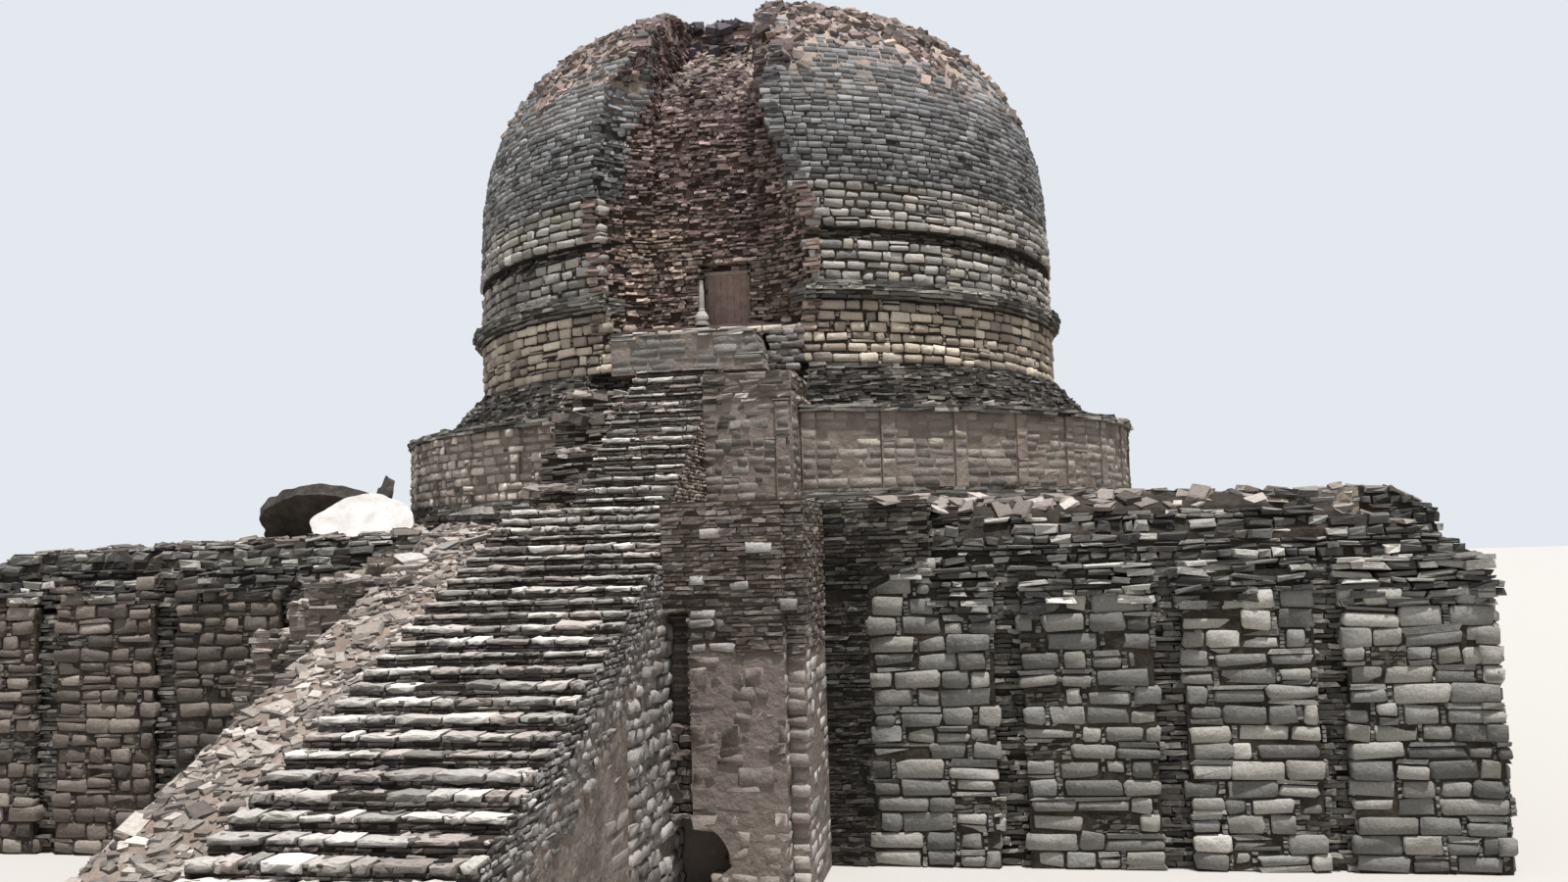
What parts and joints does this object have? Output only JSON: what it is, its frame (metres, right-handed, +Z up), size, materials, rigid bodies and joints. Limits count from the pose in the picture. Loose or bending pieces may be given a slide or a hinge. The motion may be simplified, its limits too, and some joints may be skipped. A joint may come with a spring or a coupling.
{
  "type": "ruined stone stupa, 1:2 scale model",
  "caption": "Ruined stone stupa with a square podium, a long stair in two flights, round drums and a breached dome with a plank door.",
  "frame": {"origin": "on the axis of the drum, at the level of the foot of the podium", "axes": "+Z up; the stair climbs towards +Y, and its foot is the lowest y"},
  "size_m": [19.05, 28.7215, 13.725],
  "materials": {
    "dressed_facing": "coursed schist and granite ashlar",
    "rubble": "dry stacked thin schist slabs",
    "slab": "weathered schist slabs",
    "rendered_blocks": "small blocks flush in old lime and mud render",
    "tan_ashlar": "warm tan ashlar with dark joints",
    "red_core": "dark red-brown slab core",
    "dome_courses": "grey lichened small courses",
    "door_timber": "weathered planks"
  },
  "bodies": {
    "masonry": {"core_band": "rubble", "cornice_left": "slab", "cornice_right": "slab", "crown_back": "rubble", "crown_front_left": "rubble", "crown_front_right": "rubble", "dome_core": "red_core", "dome_shell_back": "dome_courses", "dome_shell_front_left": "dome_courses", "dome_shell_front_right": "dome_courses", "door_frame": "door_timber", "door_patch_wall": "rendered_blocks", "door_side_post": "slab", "fallen_disc_front": "slab", "fallen_disc_leaning": "slab", "fallen_disc_rear": "slab", "fallen_slab": "slab", "lower_drum_base_moulding": "slab", "lower_drum_cap": "slab", "lower_drum_core": "rubble", "lower_drum_wall_back": "rendered_blocks", "lower_drum_wall_front_left": "rendered_blocks", "lower_drum_wall_front_right": "rendered_blocks", "lower_flank_right": "rendered_blocks", "lower_flight": "slab", "lower_flight_core": "rubble", "lower_pier_left_ruin": "rubble", "lower_pier_right": "rubble", "podium_back_wall": "dressed_facing", "podium_core": "rubble", "podium_front_wall_left": "dressed_facing", "podium_front_wall_right": "dressed_facing", "podium_left_wall": "dressed_facing", "podium_right_wall": "dressed_facing", "summit_rubble": "rubble", "tall_drum_lower_wall_back": "tan_ashlar", "tall_drum_lower_wall_front_left": "tan_ashlar", "tall_drum_lower_wall_front_right": "tan_ashlar", "tall_drum_upper_wall_back": "dressed_facing", "tall_drum_upper_wall_front_left": "dressed_facing", "tall_drum_upper_wall_front_right": "dressed_facing", "upper_flight": "slab", "upper_pier_left_ruin": "rubble", "upper_pier_right": "rendered_blocks"},
    "door": {"door_leaf": "door_timber"}
  },
  "joints": [
    {"name": "door_hinge", "type": "hinge", "parent": "masonry", "child": "door", "pos_m": [0.4925, -4.251, 7.675], "axis": [0, 0, 1], "range_deg": [0, 95]}
  ]
}
